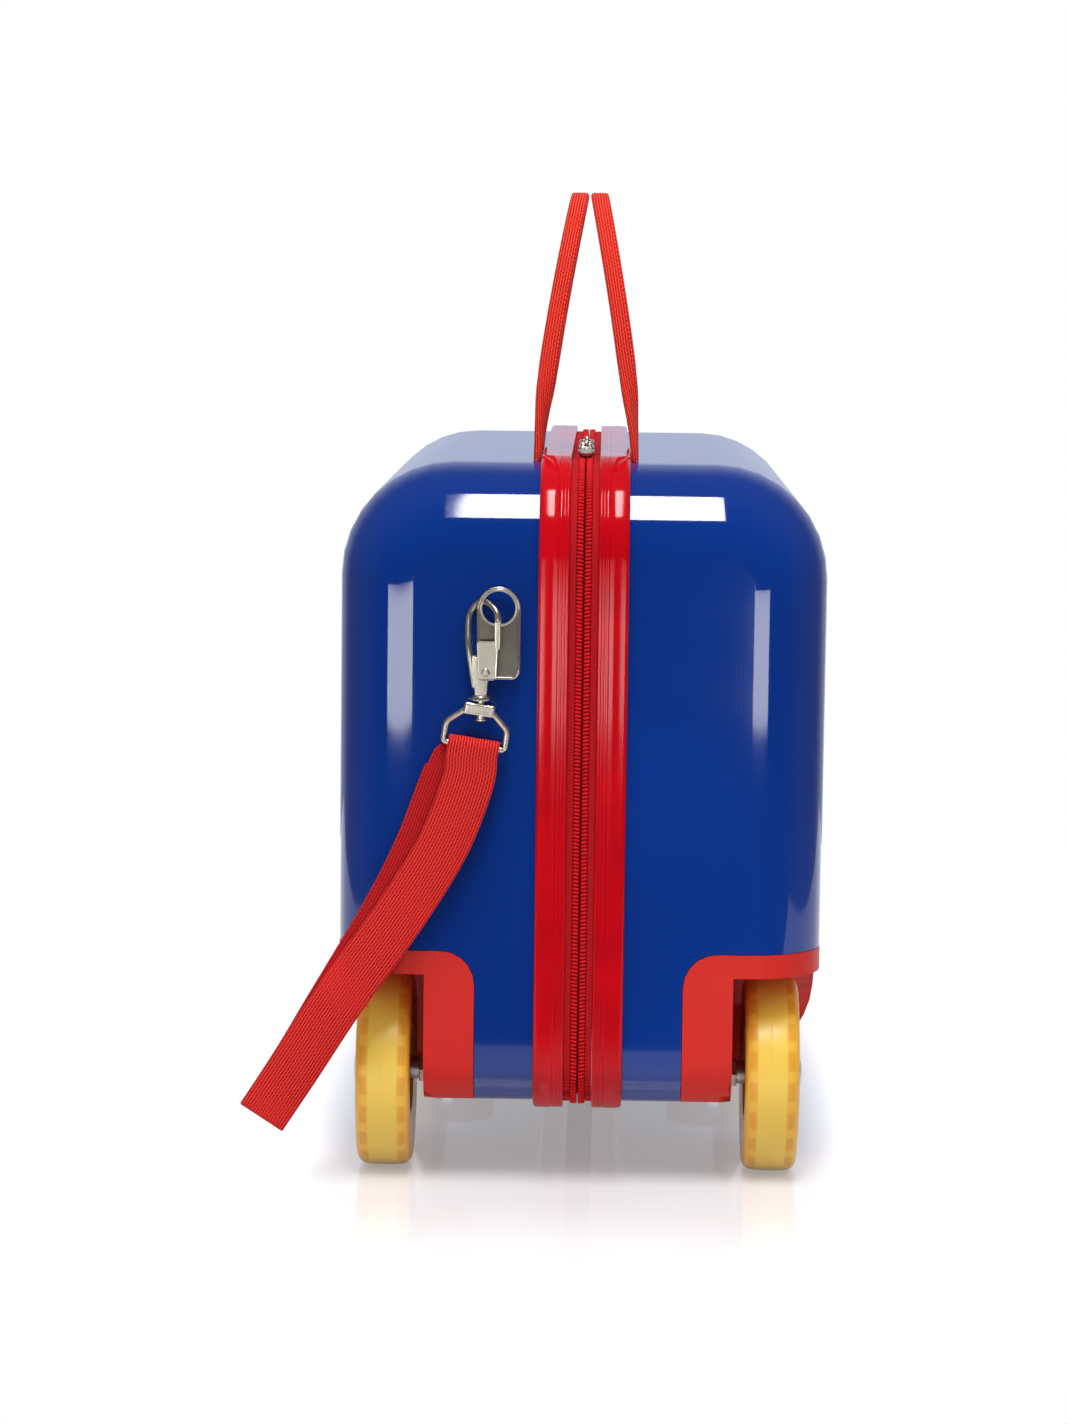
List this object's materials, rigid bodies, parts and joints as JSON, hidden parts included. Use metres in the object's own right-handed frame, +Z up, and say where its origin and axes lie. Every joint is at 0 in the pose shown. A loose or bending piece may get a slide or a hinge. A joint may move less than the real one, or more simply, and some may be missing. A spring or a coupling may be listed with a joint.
{
  "type": "ride-on suitcase",
  "caption": "Child's hard-shell ride-on suitcase on fixed wheels, with a zipped lid half, webbing carry handles and a clipped pull loop",
  "frame": {"origin": "on the floor under the middle of the case", "axes": "+Z up, -Y towards the end with the pull loop, -X towards the half that carries it"},
  "size_m": [0.2855, 0.4673, 0.4896],
  "materials": {
    "shell": "gloss moulded, royal blue",
    "gasket": "gloss extruded, red",
    "zip_cloth": "woven tape, red",
    "zip_coil": "wound nylon, red",
    "lining": "plain woven, grey",
    "packing_webbing": "elastic webbing, black",
    "buckle": "moulded, black",
    "housing": "satin moulded, red",
    "tyre": "clear cast polyurethane, yellow",
    "hub": "moulded, amber",
    "steel": "zinc plated",
    "nickel": "nickel plated",
    "webbing": "woven polyester webbing, red"
  },
  "bodies": {
    "left_half": {"shell_left": "shell", "gasket_left": "gasket", "zip_tape_left": "zip_cloth", "zip_coil_left": "zip_coil", "hinge_fabric": "zip_cloth", "lining_left": "lining", "wheel_housing_left_front": "housing", "wheel_housing_left_rear": "housing", "axle_left_front": "steel", "axle_left_rear": "steel", "axle_nut_left_front": "steel", "axle_nut_left_rear": "steel", "strap_anchor": "nickel", "anchor_screw": "steel"},
    "right_half": {"shell_right": "shell", "gasket_right": "gasket", "zip_tape_right": "zip_cloth", "zip_coil_right": "zip_coil", "lining_right": "lining", "wheel_housing_right_front": "housing", "wheel_housing_right_rear": "housing", "axle_right_front": "steel", "axle_right_rear": "steel", "axle_nut_right_front": "steel", "axle_nut_right_rear": "steel", "packing_strap_upper": "packing_webbing", "packing_strap_lower": "packing_webbing", "packing_buckle": "buckle"},
    "divider": {"divider_panel": "lining"},
    "wheel_left_front": {"tyre_left_front": "tyre", "hub_left_front": "hub", "bearing_left_front": "steel"},
    "wheel_left_rear": {"tyre_left_rear": "tyre", "hub_left_rear": "hub", "bearing_left_rear": "steel"},
    "wheel_right_front": {"tyre_right_front": "tyre", "hub_right_front": "hub", "bearing_right_front": "steel"},
    "wheel_right_rear": {"tyre_right_rear": "tyre", "hub_right_rear": "hub", "bearing_right_rear": "steel"},
    "handle_left": {"handle_left": "webbing"},
    "handle_right": {"handle_right": "webbing"},
    "slider_far": {"zip_slider_far": "nickel"},
    "slider_near": {"zip_slider_near": "nickel"},
    "puller_far": {"zip_puller_far": "nickel"},
    "puller_near": {"zip_puller_near": "nickel"},
    "snap_hook": {"hook_body": "nickel", "gate_pin": "nickel", "swivel_rivet": "nickel"},
    "gate": {"hook_gate": "nickel"},
    "ring": {"swivel_ring": "nickel"},
    "loop": {"pull_loop": "webbing"}
  },
  "joints": [
    {"name": "lid_open", "type": "hinge", "parent": "left_half", "child": "right_half", "pos_m": [0, 0, 0.0365], "axis": [0, 1, 0], "range_deg": [0, 120]},
    {"name": "divider_fold", "type": "hinge", "parent": "left_half", "child": "divider", "pos_m": [-0.0102, 0, 0.0459], "axis": [0, 1, 0], "range_deg": [0, 66]},
    {"name": "wheel_left_front_spin", "type": "hinge", "parent": "left_half", "child": "wheel_left_front", "pos_m": [-0.0965, -0.173, 0.049], "axis": [1, 0, 0], "continuous": true},
    {"name": "wheel_left_rear_spin", "type": "hinge", "parent": "left_half", "child": "wheel_left_rear", "pos_m": [-0.0965, 0.173, 0.049], "axis": [1, 0, 0], "continuous": true},
    {"name": "wheel_right_front_spin", "type": "hinge", "parent": "right_half", "child": "wheel_right_front", "pos_m": [0.0965, -0.173, 0.049], "axis": [1, 0, 0], "continuous": true},
    {"name": "wheel_right_rear_spin", "type": "hinge", "parent": "right_half", "child": "wheel_right_rear", "pos_m": [0.0965, 0.173, 0.049], "axis": [1, 0, 0], "continuous": true},
    {"name": "handle_left_fold", "type": "hinge", "parent": "left_half", "child": "handle_left", "pos_m": [-0.0262, -0.115, 0.3563], "axis": [0, -1, 0], "range_deg": [0, 84]},
    {"name": "handle_right_fold", "type": "hinge", "parent": "right_half", "child": "handle_right", "pos_m": [0.0262, -0.115, 0.3563], "axis": [0, 1, 0], "range_deg": [0, 84]},
    {"name": "slider_far_slide", "type": "slide", "parent": "left_half", "child": "slider_far", "axis": [0, 1, 0], "range_m": [0, 0.262]},
    {"name": "slider_near_slide", "type": "slide", "parent": "left_half", "child": "slider_near", "axis": [0, -1, 0], "range_m": [0, 0.026]},
    {"name": "puller_far_flip", "type": "hinge", "parent": "slider_far", "child": "puller_far", "pos_m": [0, -0.097, 0.3631], "axis": [-1, 0, 0], "range_deg": [0, 158]},
    {"name": "puller_near_flip", "type": "hinge", "parent": "slider_near", "child": "puller_near", "pos_m": [0, -0.145, 0.3631], "axis": [-1, 0, 0], "range_deg": [0, 158]},
    {"name": "hook_swing", "type": "hinge", "parent": "left_half", "child": "snap_hook", "pos_m": [-0.0501, -0.229, 0.2877], "axis": [0, 1, 0], "range_deg": [0, 30]},
    {"name": "gate_open", "type": "hinge", "parent": "snap_hook", "child": "gate", "pos_m": [-0.047, -0.2354, 0.2565], "axis": [0, -1, 0], "range_deg": [0, 14], "stiffness_Nm_per_rad": 0.01, "springref_deg": -20.05},
    {"name": "ring_swivel", "type": "hinge", "parent": "snap_hook", "child": "ring", "pos_m": [-0.0492, -0.2336, 0.24], "axis": [0, 0, 1], "range_deg": [0, 15]},
    {"name": "loop_lift", "type": "hinge", "parent": "ring", "child": "loop", "pos_m": [-0.05244, -0.2336, 0.22054], "axis": [-0.9893, 0, 0.1461], "range_deg": [0, 100]}
  ],
  "couplings": [
    {"joint": "divider_fold", "follows": "lid_open", "ratio": 0.55}
  ]
}
